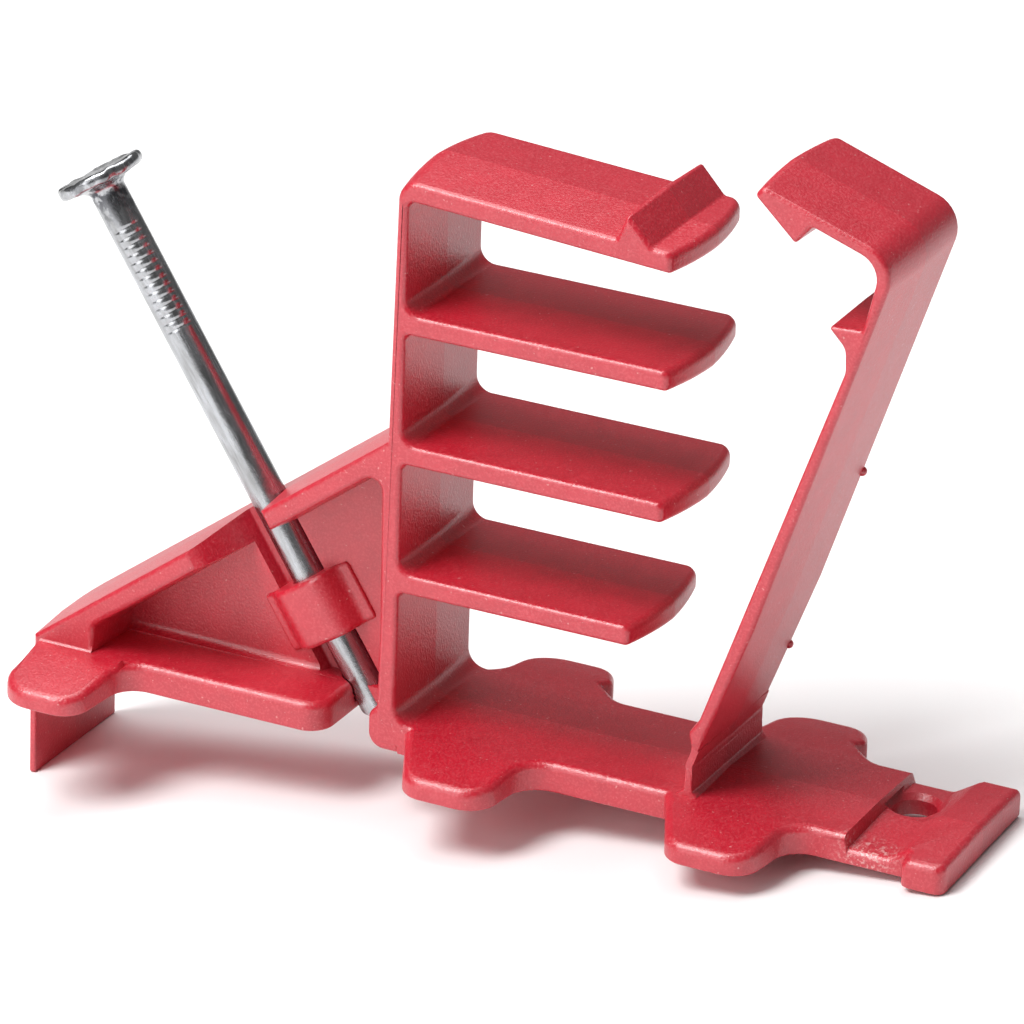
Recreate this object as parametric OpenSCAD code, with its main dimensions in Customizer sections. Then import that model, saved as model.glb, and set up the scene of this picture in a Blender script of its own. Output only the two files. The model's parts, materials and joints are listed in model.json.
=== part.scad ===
// Cable stacker: a one-piece moulded clip with four open cable slots, a gate on a living hinge
// that closes them, and one nail held at a slant in a guide of alternating saddles.
// Millimetres. X runs along the strip from the nail end to the free end, Y is the mould's draw,
// Z is up from the face that lies on the timber. The origin is below the column's slot face.

/* [Strip] */
// Width of the strip, column, shelves, arm and gusset
body_w = 12; // [9:0.5:16]
// Thickness of the strip at its middle
base_t = 2.3; // [1.8:0.1:3]
// How far a lobe's upper face falls between the strip's edge and the lobe's rim
lobe_fall = 0.7; // [0.2:0.1:1]
// How far a lobe reaches out beyond the strip's edge
lobe_out = 6; // [4:0.5:9]
// How far the lobe at the nail end reaches out beyond the strip's edge
tip_lobe_out = 6.8; // [4:0.2:9]
// Length of a lobe's root along the strip
lobe_len = 10; // [7:0.5:11]
// How far a lobe's steep side leans along the strip
lobe_rake = 2.8; // [1:0.2:4]
// Distance from the column's slot face to the middle of its pair of lobes
col_lobe_x = 6; // [5:0.1:8]
// Distance from the hinge to the middle of the gate's pair of lobes
gate_lobe_x = 3.5; // [0:0.1:5]
// Thickness of the lip that hooks over the timber's edge
lip_t = 0.5; // [0.4:0.1:1.5]
// Depth of the lip below the strip
lip_depth = 8.6; // [4:0.2:14]

/* [Free end] */
// Distance from the hinge to the step down into the free end's recess
step_x = 12.2; // [9:0.2:16]
// Length of the recess floor
recess_len = 3.3; // [2:0.1:6]
// Thickness left under the recess floor
recess_t = 1.5; // [0.8:0.1:1.7]
// Length of the ramp from the recess floor to the end block
ramp_len = 1.5; // [0.5:0.1:2]
// Length of the end block
block_len = 3.35; // [2:0.05:6]
// How far the end block stands out beyond the strip's edge
block_out = 1.4; // [0.5:0.1:3]
// Diameter of the spare nail hole
hole_d = 3.2; // [2.4:0.1:3.4]
// Depth of the bevel round the spare nail hole
hole_bevel = 0.4; // [0.2:0.1:0.6]
// Sideways offset of the spare nail hole from the strip's middle
hole_y = 2.3; // [0:0.1:3]

/* [Column and shelves] */
// Thickness of the column at the strip
col_root_t = 1.5; // [1.1:0.1:2.5]
// Thickness of the column at the arm
col_top_t = 0.7; // [0.6:0.1:1]
// Height of the lowest shelf's middle
shelf_z = 13.3; // [11:0.1:15]
// Pitch of the shelves
shelf_pitch = 9.85; // [8:0.05:12]
// Thickness of a shelf
shelf_t = 1.5; // [1.2:0.1:2]
// Length of the two upper shelves at their middle
shelf_len = 20.9; // [16:0.1:24]
// Length of the lowest shelf at its middle
low_shelf_len = 18.7; // [12:0.1:20]
// How far the ends of the shelves and the arm are bowed out at their middle
end_bow = 0.75; // [0.2:0.05:1.2]
// Fillet radius between the column and the floor of each cable slot
floor_r = 1.2; // [0.5:0.1:1.6]
// Fillet radius between the column and the roof of each cable slot
roof_r = 0.5; // [0.3:0.1:1.2]

/* [Arm] */
// Height from the top shelf's middle to the arm's middle, at the column
arm_rise = 9.95; // [8:0.05:12]
// Thickness of the arm
arm_t = 1.5; // [1.2:0.1:2]
// Length of the arm at its middle
arm_len = 20.8; // [16:0.1:24]
// Slope of the arm towards its free end, in degrees
arm_droop = 3.6; // [0:0.1:6]
// Height of the barb above the arm
barb_h = 1.95; // [1:0.05:3]
// Distance from the arm's end to the foot of the barb's back face
barb_back = 4.75; // [3.8:0.05:6]
// How far the barb's back face leans towards the arm's end
barb_lean = 0.7; // [0:0.05:1]
// Length of the barb's ramp
barb_ramp = 1.95; // [1.5:0.05:3]

/* [Gate] */
// Width of the gate
gate_w = 11.8; // [8:0.1:15]
// Lean of the gate as moulded, in degrees from its closed position
gate_lean = 18.9; // [5:0.1:40]
// Thickness of the gate's wall
gate_t = 1.1; // [0.9:0.05:2]
// Gap between the arm's end and the closed gate
gate_gap = 1.7; // [1.6:0.1:4]
// Height of the hinge axis above the strip
hinge_rise = 2.3; // [1.6:0.1:4]
// Radius of the round root on which the gate turns
hinge_r = 0.35; // [0.25:0.05:0.4]
// Running clearance of the round root in its groove
hinge_clear = 0.05; // [0.03:0.01:0.1]
// Thickness of the hook
hook_t = 1; // [0.8:0.05:2]
// Room between the barb's crest and the hook's underside
hook_room = 1.95; // [1.5:0.05:3]
// Clearance of the hook's tooth over the barb's crest as it swings past
latch_clear = 0.2; // [0.2:0.05:0.5]
// Distance of the closed tooth behind the foot of the barb's back face
latch_back = 0.25; // [0.1:0.05:0.5]
// Length of the tooth's lead-in face along the hook
hook_lead = 4.2; // [2:0.1:5]
// Height of the keeper tooth on the gate's inner face
keeper_h = 2.45; // [1.8:0.05:2.5]
// Clearance of the keeper tooth under the arm's end
keeper_clear = 0.15; // [0.1:0.05:0.5]

/* [Gusset and nail guide] */
// Slope of the gusset's flange, in degrees
flange_angle = 37; // [30:0.1:40]
// Height at which the flange's upper face would meet the column's slot face
flange_z = 24.65; // [22:0.05:26]
// Thickness of the flange
flange_t = 1.45; // [1:0.05:2]
// Thickness of the web between the two pockets
web_t = 1.2; // [0.8:0.1:2]
// Distance from the column's slot face to the end of the pockets
pocket_x = 24.6; // [18:0.1:26]
// Length of the solid tip beyond the pockets, at the strip's front edge
tip_len = 5.5; // [4:0.1:7]
// Half-width of the saddles' feet beside the nail
guide_half = 3.9; // [3.4:0.1:4.2]
// Distance from the nail's axis to the left wall of the guide's open front
guide_left = 4.1; // [3:0.1:4.6]
// Distance from the nail's axis to the right wall of the guide's open front
guide_right = 2.8; // [2:0.1:3.4]
// Wall of the saddles round the nail
saddle_wall = 1.2; // [0.8:0.1:1.6]
// Distance along the nail from the strip's underside to the front saddle
saddle_start = 6.5; // [5:0.1:7.5]
// Length of the front saddle
saddle_len = 4.7; // [3:0.1:5.5]

/* [Nail] */
// Diameter of the nail's shank
nail_d = 2.65; // [2:0.05:3]
// Lean of the nail, in degrees from upright
nail_lean = 32.9; // [28:0.1:36]
// Distance from the column's slot face to the nail's axis at the strip's underside
nail_x = 3.95; // [3.6:0.05:5]
// Length of the nail from the strip's underside to the underside of its head
nail_len = 42.9; // [30:0.1:60]
// Diameter of the nail's head
head_d = 6.5; // [5:0.1:8]
// Thickness of the nail's head
head_t = 0.85; // [0.6:0.05:2]
// Radial clearance of the nail in its guide
nail_clear = 0.08; // [0.04:0.01:0.1]
// Number of grip grooves rolled into the shank
groove_n = 15; // [0:1:20]
// Pitch of the grip grooves
groove_pitch = 0.62; // [0.5:0.01:0.8]
// Depth of the grip grooves
groove_depth = 0.08; // [0.03:0.01:0.15]

/* [Hidden] */
$fn = 48;
half_w = body_w / 2;
// A length longer than any feature, for cuts that run right through
through = 100;
// Points on each rounded corner
corner_steps = 6;
// How far the strip's middle stands above its edges
crown = 0.1;
// Height of the strip's upper face at its edges
edge_t = base_t - crown;
// Fillet radius in the corners of the gusset's pockets
pocket_r = 0.8;
// Rounding of the thin ends of shelves and arm
nose_r = 0.6;
// Rounding of crisp moulded corners
crisp_r = 0.3;

// Heights of the shelves' middles, lowest first, with their lengths
shelf_heights = [for (i = [0:2]) shelf_z + i * shelf_pitch];
shelf_lengths = [low_shelf_len, shelf_len, shelf_len];
// Radius in plan of the bowed ends of the shelves and the arm, and how far forward the bow's crest lies
bow_r = (half_w * half_w + end_bow * end_bow) / (2 * end_bow);
bow_y = 0.5;

// Arm and barb
arm_z = shelf_heights[2] + arm_rise;
function arm_top(x) = arm_z + arm_t / 2 - x * tan(arm_droop);
function arm_under(x) = arm_top(x) - arm_t;
barb_x = arm_len - barb_back;
barb_z = arm_top(barb_x) + barb_h;
// Rounding of the outer corner between column and arm
top_corner_r = 1.5;

// Hinge axis and the closed gate's faces
gate_inset = 0.5;
hinge_x = arm_len + gate_gap + gate_inset;
hinge_z = base_t + hinge_rise;
gate_in = hinge_x - gate_inset;
gate_out = gate_in + gate_t;

// Free end of the strip
step_at = hinge_x + step_x;
ramp_at = step_at + recess_len;
block_at = ramp_at + ramp_len;
end_x = block_at + block_len;
block_half = half_w + block_out;
// Slope of the step's face, along the strip
step_slope = 0.25;
// Land between the foot of the step and the spare nail hole
hole_land = 0.15;
hole_x = step_at + hole_d / 2 + hole_land;

// Nail guide
guide_r = nail_d / 2 + nail_clear;
flange_slope = tan(flange_angle);
function flange_top(x) = flange_z + x * flange_slope;
// Nail's axis crosses the flange's upper face at this distance along the shank
flange_at = flange_top(-nail_x) / (cos(nail_lean) + sin(nail_lean) * flange_slope);
saddle_end = saddle_start + saddle_len;
// Left and right walls of the slot that the strip leaves open in front of the nail
slot_left = -nail_x - 1.8;
slot_right = 0.3;
slot_nose_r = 1.9;

// Length of a rear lobe, and how far each sits along the strip from its partner in front
rear_lobe_len = lobe_len - 2.8;
rear_col_shift = 0.1;
rear_gate_shift = -0.25;
// How much shorter the free end is at its rear corner
end_skew = 0.45;

// Left end of the strip, raked from the tip lobe's rim to the rear corner
tip_x = -pocket_x - tip_len;
tip_front_x = tip_x + 1.6;
tip_rear_x = tip_x - 1.4;
tip_lobe_len = 6.2;
tip_lobe_side = 0.5;
tip_rear_r = 2.5;
lip_x = tip_x + 0.35;

function unit(v) = v / norm(v);

// Points of the arc that rounds corner b between neighbours a and c
function corner(a, b, c, r) =
    let (u = unit(a - b), v = unit(c - b))
    let (half = acos(u * v) / 2)
    let (reach = min(r / tan(half), 0.45 * min(norm(a - b), norm(c - b))))
    let (rr = reach * tan(half), mid = b + unit(u + v) * rr / sin(half))
    let (from = b + u * reach - mid, to = b + v * reach - mid)
    let (start = atan2(from[1], from[0]), sweep = atan2(to[1], to[0]) - start)
    let (turn = sweep > 180 ? sweep - 360 : sweep < -180 ? sweep + 360 : sweep)
    [for (i = [0:corner_steps])
        mid + rr * [cos(start + turn * i / corner_steps), sin(start + turn * i / corner_steps)]];

// Closed outline with its corners rounded, from a list of [x, y, radius]
function rounded(p) =
    let (n = len(p))
    [for (i = [0:n - 1])
        let (a = p[(i + n - 1) % n], b = p[i], c = p[(i + 1) % n])
        for (q = b[2] > 0 ? corner([a[0], a[1]], [b[0], b[1]], [c[0], c[1]], b[2]) : [[b[0], b[1]]]) q];

// Solid of an outline drawn in X and Z, centred on the parting plane
module across(width) {
    rotate([90, 0, 0])
        linear_extrude(height = width, center = true)
            children();
}

// Frame with Z along the nail towards its head and the origin at the strip's underside
module along_nail() {
    translate([-nail_x, 0, 0])
        rotate([0, -nail_lean, 0])
            children();
}

// Front edge of one lobe, steep on one side and drawn out in an S on the other
function lobe(cx) =
    let (left = cx - lobe_len / 2, right = cx + lobe_len / 2, rim = -half_w - lobe_out)
    [[left, -half_w, 0.3], [left + lobe_rake, rim, 2.1], [right - 1, rim, 2.3], [right - 0.4, -half_w, 2.4]];

// Rear edge of one lobe, rounder than the front one, with a small notch at its steep side
function rear_lobe(cx) =
    let (left = cx - rear_lobe_len / 2, right = cx + rear_lobe_len / 2, rim = half_w + lobe_out)
    [[right + 0.3, half_w, 0.9], [right, rim, 3], [left, rim, 2.4], [left - 0.4, half_w, 2.2]];

// Front edge of the tip lobe and the rounded nose beside the nail's slot
function tip_lobe() =
    let (rim = -half_w - tip_lobe_out, right = tip_front_x + tip_lobe_len)
    [[tip_front_x, rim, 2.8], [right, rim, 2], [right + tip_lobe_side, -half_w, 2],
     [slot_left, -half_w, slot_nose_r], [slot_left, 0, 0], [slot_right, 0, 0], [slot_right, -half_w, 0]];

// Outline of the wide block at the free end
function end_block() = [
    [block_at, -half_w, 0.2], [block_at, -block_half, 1], [end_x, -block_half, 0.8],
    [end_x - end_skew, block_half, crisp_r], [block_at, block_half, crisp_r], [ramp_at, half_w, 1.5]];

// Plan of the strip: tip lobe, nail slot, two pairs of lobes and the end block
module base_plan() {
    gate_lobes = hinge_x + gate_lobe_x;
    polygon(rounded(concat(
        tip_lobe(),
        lobe(col_lobe_x),
        lobe(gate_lobes),
        end_block(),
        rear_lobe(gate_lobes + rear_gate_shift),
        rear_lobe(col_lobe_x + rear_col_shift),
        [[tip_rear_x, half_w, tip_rear_r]])));
}

// Cross-section of the strip: flat below, crowned over the strip and falling over the lobes
module base_section() {
    rim = half_w + max(lobe_out, tip_lobe_out);
    rim_t = edge_t - lobe_fall;
    polygon([[-rim, 0], [rim, 0], [rim, rim_t], [half_w, edge_t],
             [0, base_t], [-half_w, edge_t], [-rim, rim_t]]);
}

module base() {
    over = base_t + 1;
    difference() {
        intersection() {
            linear_extrude(height = base_t) base_plan();
            rotate([90, 0, 90])
                linear_extrude(height = 2 * through, center = true)
                    base_section();
        }
        // The flange's slope runs out over the tip, behind the tip lobe
        translate([0, through / 2 - half_w, 0])
            across(through)
                polygon([[tip_rear_x - 1, flange_top(tip_rear_x - 1)], [-pocket_x, flange_top(-pocket_x)],
                         [-pocket_x, flange_z], [tip_rear_x - 1, flange_z]]);
        // Recess between the step and the end block
        across(through)
            polygon([[step_at, over], [step_at, base_t], [step_at + step_slope, recess_t],
                     [ramp_at, recess_t], [block_at, base_t], [block_at, over]]);
        // Spare nail hole with its bevelled rim
        translate([hole_x, hole_y, -1])
            cylinder(d = hole_d, h = base_t + 2);
        translate([hole_x, hole_y, recess_t - hole_bevel])
            cylinder(d1 = hole_d, d2 = hole_d + 4 * hole_bevel, h = 2 * hole_bevel);
    }
}

// Lip that hooks over the edge of the timber
module lip() {
    translate([lip_x, -half_w, -lip_depth])
        cube([lip_t, body_w, lip_depth]);
    // Root of the lip inside the strip, clear of the strip's rounded rear corner
    translate([lip_x, -half_w, -lip_depth])
        cube([lip_t, body_w - tip_rear_r, lip_depth + base_t / 2]);
}

// Column with its three shelves, the arm and the barb, as one drawn profile
module comb() {
    crest_x = barb_x + barb_lean;
    ramp_foot = crest_x + barb_ramp;
    shelf_points = [for (i = [0:2])
        let (under = shelf_heights[i] - shelf_t / 2, over = under + shelf_t, l = shelf_lengths[i])
        for (p = [[0, under, roof_r], [l, under, nose_r], [l, over, nose_r], [0, over, floor_r]]) p];
    intersection() {
        across(body_w)
            polygon(rounded(concat(
                [[-col_root_t, 0, 1.2], [col_lobe_x, 0, 0], [col_lobe_x, edge_t, 0], [0, edge_t, floor_r]],
                shelf_points,
                [[0, arm_under(0), roof_r],
                 [arm_len, arm_under(arm_len), nose_r],
                 [arm_len, arm_top(arm_len), nose_r],
                 [ramp_foot, arm_top(ramp_foot), 0.4],
                 [crest_x, barb_z, 0.25],
                 [barb_x, arm_top(barb_x), 0.25],
                 [-col_top_t, arm_top(-col_top_t), top_corner_r]])));
        bowed_ends();
    }
}

// Drums one above another that bow the ends of the shelves and the arm
module bowed_ends() {
    low_gap = shelf_heights[0] + shelf_pitch / 2;
    top_gap = shelf_heights[2] + arm_rise / 2;
    bow_drum(low_shelf_len, 0, low_gap);
    bow_drum(shelf_len, low_gap, top_gap);
    bow_drum(arm_len, top_gap, barb_z + 1);
}

module bow_drum(reach, from_z, to_z) {
    translate([reach - bow_r, -bow_y, from_z])
        cylinder(r = bow_r, h = to_z - from_z);
}

// Gusset behind the column: flange, solid tip and two pockets with a web between them
module gusset() {
    intersection() {
        across(body_w)
            difference() {
                polygon([[tip_rear_x, 0], [-col_top_t, 0], [-col_top_t, flange_top(-col_top_t)],
                         [tip_rear_x, flange_top(tip_rear_x)]]);
                pocket_outline();
                // The strip closes the pockets below, and leaves the nail's slot open
                translate([-pocket_x + pocket_r, -1])
                    square([pocket_x - pocket_r, base_t + 1 - crown / 2]);
            }
        linear_extrude(height = flange_z) raked_end();
    }
    across(web_t)
        pocket_outline();
}

// Plan that trims the gusset's tip to the strip's raked end
module raked_end() {
    polygon(rounded([
        [tip_front_x, -half_w - tip_lobe_out, 0], [through, -half_w - tip_lobe_out, 0],
        [through, half_w, 0], [tip_rear_x, half_w, tip_rear_r]]));
}

module pocket_outline() {
    drop = flange_t / cos(flange_angle);
    polygon(rounded([
        [-pocket_x, edge_t, pocket_r],
        [-col_root_t, edge_t, pocket_r],
        [-col_root_t, flange_top(-col_root_t) - drop, pocket_r],
        [-pocket_x, flange_top(-pocket_x) - drop, pocket_r]]));
}

// Section of a saddle: a half tube over one side of the nail, filleted on to thin feet
module saddle_section() {
    top_y = guide_r + saddle_wall;
    shoulder = 0.75 * top_y;
    root = 1.15 * top_y;
    foot_y = web_t / 2 + 0.25;
    polygon(rounded([
        [-guide_half, 0, 0], [-guide_half, -foot_y, 0], [-root, -foot_y, 0.8], [-shoulder, -top_y, 1.8],
        [shoulder, -top_y, 1.8], [root, -foot_y, 0.8], [guide_half, -foot_y, 0], [guide_half, 0, 0]]));
}

// Section of the open side opposite a saddle, narrowing on to the nail
module guide_opening(left, right) {
    mouth_y = -web_t / 2 - 0.2;
    // The funnel's walls end just inside the nail's bore, past its widest
    throat = 20;
    throat_r = 0.85 * guide_r;
    throat_x = throat_r * cos(throat);
    throat_y = throat_r * sin(throat);
    polygon([[-left, -through], [right, -through], [right, mouth_y],
             [throat_x, throat_y], [-throat_x, throat_y], [-left, mouth_y]]);
}

// Saddles: behind the nail at the strip and flange, in front of it between them
module saddles() {
    // The rear saddle starts inside the strip, above its underside
    rear_start = guide_half * tan(nail_lean) + 0.3;
    along_nail() {
        translate([0, 0, saddle_start])
            linear_extrude(height = saddle_len) saddle_section();
        intersection() {
            translate([0, 0, rear_start])
                linear_extrude(height = flange_at - rear_start - 1) mirror([0, 1]) saddle_section();
            translate([-guide_half, 0, 0]) cube([2 * guide_half, half_w, flange_at]);
        }
    }
}

module guide_cuts() {
    rear_half = guide_half + 0.1;
    along_nail()
        translate([0, 0, -through / 2]) cylinder(r = guide_r, h = through);
    difference() {
        along_nail() {
            linear_extrude(height = saddle_start) guide_opening(guide_left, guide_right);
            translate([0, 0, saddle_end])
                linear_extrude(height = flange_at + head_d - saddle_end) guide_opening(guide_left, guide_right);
        }
        translate([-through, -through, -through]) cube([2 * through, 2 * through, through + base_t]);
    }
    along_nail()
        translate([0, 0, saddle_start])
            linear_extrude(height = saddle_len) mirror([0, 1]) guide_opening(rear_half, rear_half);
}

// Rounded toe of the column beside the nail's way out
module toe() {
    toe_r = 1.55;
    toe_out = 0.6;
    toe_lift = 0.05;
    translate([toe_r - col_root_t - toe_out, 0, toe_r + toe_lift])
        rotate([90, 0, 0]) cylinder(r = toe_r, h = body_w, center = true);
}

// Foot of the living hinge, with the groove in which the gate's round root turns
module hinge_foot() {
    sunk = 0.5;
    left = hinge_x - 0.7;
    rib_left = hinge_x - 0.25;
    rib_right = hinge_x + 0.2;
    rib_z = hinge_z - 0.3;
    ledge_right = hinge_x + 0.65;
    ledge_z = rib_z - 0.45;
    right = hinge_x + 1;
    across(gate_w)
        difference() {
            polygon([[left, sunk], [left, edge_t], [rib_left, base_t + 0.4], [rib_left, rib_z],
                     [rib_right, rib_z], [rib_right + 0.1, ledge_z + 0.1], [ledge_right, ledge_z],
                     [ledge_right, base_t + 0.3], [right, edge_t], [right, sunk]]);
            translate([hinge_x, hinge_z]) circle(r = hinge_r + hinge_clear);
        }
}

module clip_body() {
    color("#c8202e")
        difference() {
            union() {
                base();
                lip();
                comb();
                gusset();
                saddles();
                toe();
                hinge_foot();
            }
            guide_cuts();
        }
}

// Gate's outline in its closed position, clockwise from the hinge's neck
module gate_outline() {
    neck = 0.15;
    neck_top = hinge_z + 1.1;
    heel_out = 0.38;
    heel_z = hinge_z + 2.3;
    heel_end = hinge_z + 3.6;
    thin_out = gate_out - 0.25;
    thin_z = hinge_z + 3;
    full_z = hinge_z + 12;
    tooth_x = barb_x - latch_back;
    tooth_z = barb_z + latch_clear;
    tooth_back = 0.7;
    hook_z = barb_z + hook_room;
    hook_end = tooth_x - hook_lead;
    hook_end_lean = 0.4;
    keeper_z = arm_under(arm_len) - keeper_clear;
    keeper_rise = 1;
    keeper_root = 0.65;
    // The moulded gate bends inwards a little towards its hook
    bend = 0.55;
    polygon(rounded([
        [hinge_x - neck, hinge_z, 0],
        [hinge_x + neck, hinge_z, 0],
        [hinge_x + neck, hinge_z + 0.4, 0.2],
        [thin_out, hinge_z + 1.4, crisp_r],
        [thin_out, thin_z, 1],
        [gate_out, full_z, 4],
        [gate_out - bend, hook_z + hook_t, 2.4],
        [hook_end + hook_end_lean, hook_z + hook_t, 0.5],
        [hook_end, hook_z, crisp_r],
        [tooth_x, tooth_z, 0.2],
        [tooth_x + tooth_back, hook_z, crisp_r],
        [gate_in - bend, hook_z, 1.8],
        [gate_in, keeper_z + keeper_rise, crisp_r],
        [gate_in - keeper_h, keeper_z, 0.2],
        [gate_in - keeper_root, keeper_z - 0.9, 1.2],
        [gate_in, keeper_z - 2.5, 1.5],
        [gate_in, heel_end, 0.5],
        [gate_in - heel_out, heel_z, crisp_r],
        [hinge_x - neck, neck_top, 0.2]]));
}

// Gate with its round root, leaned out to where it was moulded
module gate() {
    color("#c8202e")
        translate([hinge_x, 0, hinge_z])
            rotate([0, gate_lean, 0]) {
                translate([-hinge_x, 0, -hinge_z])
                    across(gate_w) gate_outline();
                rotate([90, 0, 0]) cylinder(r = hinge_r, h = gate_w, center = true);
            }
}

// Nail: sheared end flush with the strip's underside, rolled grip grooves, flat head
module nail() {
    neck = 0.5;
    overlap = 0.1;
    grooves_below = 2.2;
    color("#b9bcc0")
        difference() {
            along_nail() {
                translate([0, 0, -nail_d]) cylinder(d = nail_d, h = nail_len + nail_d + overlap);
                translate([0, 0, nail_len - neck])
                    cylinder(d1 = nail_d, d2 = nail_d + 2 * neck, h = neck + overlap);
                translate([0, 0, nail_len]) head();
            }
            translate([-through, -through, -through]) cube([2 * through, 2 * through, through]);
            along_nail()
                for (i = [0:1:groove_n - 1])
                    translate([0, 0, nail_len - grooves_below - i * groove_pitch])
                        groove();
        }
}

module head() {
    r = head_d / 2;
    edge = 0.25;
    rotate_extrude()
        polygon([[0, 0], [r - edge, 0], [r, edge], [r, head_t - edge], [r - edge, head_t], [0, head_t]]);
}

// One rolled groove with 45 degree flanks, cut to just beyond the shank
module groove() {
    root = nail_d / 2 - groove_depth;
    clear = 0.05;
    half = groove_depth + clear;
    rotate_extrude()
        polygon([[root, 0], [root + half, -half], [root + half, half]]);
}

clip_body();
gate();
nail();
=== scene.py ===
"""Looks of the cable stacker: a red moulded clip with a hinged gate and one steel nail.

Lengths are in millimetres until a mesh is made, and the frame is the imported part's own.
"""

import json
import math

import bmesh
import bpy
import numpy as np
from mathutils import Matrix, Vector


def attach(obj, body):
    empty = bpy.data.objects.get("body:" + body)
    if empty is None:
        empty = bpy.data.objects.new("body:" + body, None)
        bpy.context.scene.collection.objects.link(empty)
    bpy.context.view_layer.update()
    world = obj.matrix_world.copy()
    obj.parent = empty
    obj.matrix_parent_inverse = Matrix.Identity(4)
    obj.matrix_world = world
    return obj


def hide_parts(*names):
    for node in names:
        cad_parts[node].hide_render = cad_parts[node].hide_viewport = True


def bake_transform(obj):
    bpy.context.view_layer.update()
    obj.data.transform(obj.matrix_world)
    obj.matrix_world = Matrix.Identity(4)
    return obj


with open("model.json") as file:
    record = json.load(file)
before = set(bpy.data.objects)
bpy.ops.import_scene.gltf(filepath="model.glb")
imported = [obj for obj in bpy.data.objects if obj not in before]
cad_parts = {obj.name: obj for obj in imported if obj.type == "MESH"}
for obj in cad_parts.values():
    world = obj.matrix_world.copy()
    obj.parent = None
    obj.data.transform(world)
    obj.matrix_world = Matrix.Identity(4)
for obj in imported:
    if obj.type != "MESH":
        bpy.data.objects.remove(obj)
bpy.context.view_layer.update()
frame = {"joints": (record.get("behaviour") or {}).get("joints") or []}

# Units and fineness
MM = 0.001
CORNER_STEPS = 8
EDGE_STEPS = 5
RING_STEPS = 64
NAIL_STEPS = 96
SHARP_DEG = 38.0
STRAIGHT_DEG = 89.5
SHARP_R = 0.02

# Hinge and nail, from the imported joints
joints = {j["name"]: j for j in frame["joints"]}
HINGE = Vector(joints["gate_hinge"]["pos_m"]) / MM
GATE_LEAN = -math.radians(joints["gate_hinge"]["range_deg"][0])
NAIL_UP = -Vector(joints["nail_drive"]["axis"])
NAIL_SIDE = Vector((NAIL_UP.z, 0, -NAIL_UP.x))
NAIL_FOOT = Vector((-3.95, 0, 0))

# Strip
HALF_W = 6.0
EDGE_T = 2.2
CROWN = 0.16
LOBE_OUT = 6.0
LOBE_FALL = 0.7
LOBE_LEN = 10.0
LOBE_RAKE = 2.8
REAR_LOBE_LEN = LOBE_LEN - 2.8
COL_LOBE_X = 6.0
GATE_LOBE_X = HINGE.x + 3.5
REAR_COL_SHIFT = 0.1
REAR_GATE_SHIFT = -0.25
SLOT_LEFT = NAIL_FOOT.x - 1.8
SLOT_RIGHT = 0.3
STRIP_ROUND = 0.6
STRIP_UNDER_ROUND = 0.2

# Tip and lip
TIP_X = -30.1
TIP_FRONT_X = TIP_X + 1.6
TIP_REAR_X = TIP_X - 1.37
TIP_REAR_R = 2.5
TIP_LOBE_OUT = 6.79
TIP_LOBE_LEN = 6.2
TIP_LOBE_SIDE = 0.5
TIP_STAND_BACK = 0.14
LIP_X = TIP_X + 0.35
LIP_T = 0.5
LIP_DEPTH = 8.59

# Free end
STEP_AT = HINGE.x + 12.2
STEP_SLOPE = 0.25
RECESS_T = 1.5
RECESS_FALL = 0.35
RAMP_AT = STEP_AT + 3.3
BLOCK_AT = RAMP_AT + 1.5
END_X = BLOCK_AT + 3.34
END_SKEW = 0.45
BLOCK_HALF = HALF_W + 1.4
HOLE = Vector((STEP_AT + 1.75, 2.3, 0))
HOLE_R = 1.6
HOLE_BEVEL = 0.4

# Column, shelves and arm
COL_ROOT_T = 1.5
COL_TOP_T = 0.7
SHELF_Z = (13.3, 23.15, 33.0)
SHELF_LEN = (18.7, 20.9, 20.9)
SHELF_T = 1.5
SHELF_UNDER_R = 0.4
SHELF_OVER_R = 0.55
END_BOW = 0.75
BOW_Y = -0.5
REAR_CORNER = 0.9
FOOT_R = 1.4
FLOOR_R = 1.2
ROOF_R = 0.5
ARM_Z = 42.95
ARM_T = 1.5
ARM_LEN = 20.8
ARM_DROOP = math.tan(math.radians(3.6))
TOP_CORNER_R = 1.5
TOP_RIDGE = 0.5
BARB_X = ARM_LEN - 4.75
BARB_H = 1.95
BARB_LEAN = 0.7
BARB_RAMP = 1.95
EDGE_ROUND = 0.38
PARTING_CROWN = 0.2

# Gusset and nail guide
FLANGE_Z = 24.65
FLANGE_SLOPE = math.tan(math.radians(37))
FLANGE_DROP = 1.45 / math.cos(math.radians(37))
FLANGE_DRAFT = 0.7
POCKET_X = -24.6
POCKET_DRAFT = 0.25
POCKET_R = 0.9
WEB_HALF = 0.6
GUIDE_R = 1.405
GUIDE_HALF = 3.9
GUIDE_LEFT = 4.1
GUIDE_RIGHT = 2.8
SADDLE_FROM = 6.5
SADDLE_TO = 11.2
SADDLE_OUT = 2.6
PAD_OUT = WEB_HALF + 0.25
FILLET_R = 0.6
CUT_FAR = -20
CUT_ABOVE = 26

# Gate, measured from the hinge with the gate closed
GATE_HALF = 5.9
GATE_IN = -0.5
GATE_OUT = 0.6
GATE_BEND = 0.55
HOOK_UNDER = 41.99
HOOK_TOP = 42.83
HOOK_END = -11.4
TOOTH = (-7.2, 40.24)
KEEPER = (-2.95, 36.0)
GATE_CROWN = 0.14

# Nail
NAIL_R = 1.325
NAIL_LEN = 43.2
HEAD_R = 3.4
HEAD_T = 0.85
GRIPS_BELOW = 3.7
GRIP_PITCH = 0.62
GRIP_COUNT = 14
GRIP_DEPTH = 0.06

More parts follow.
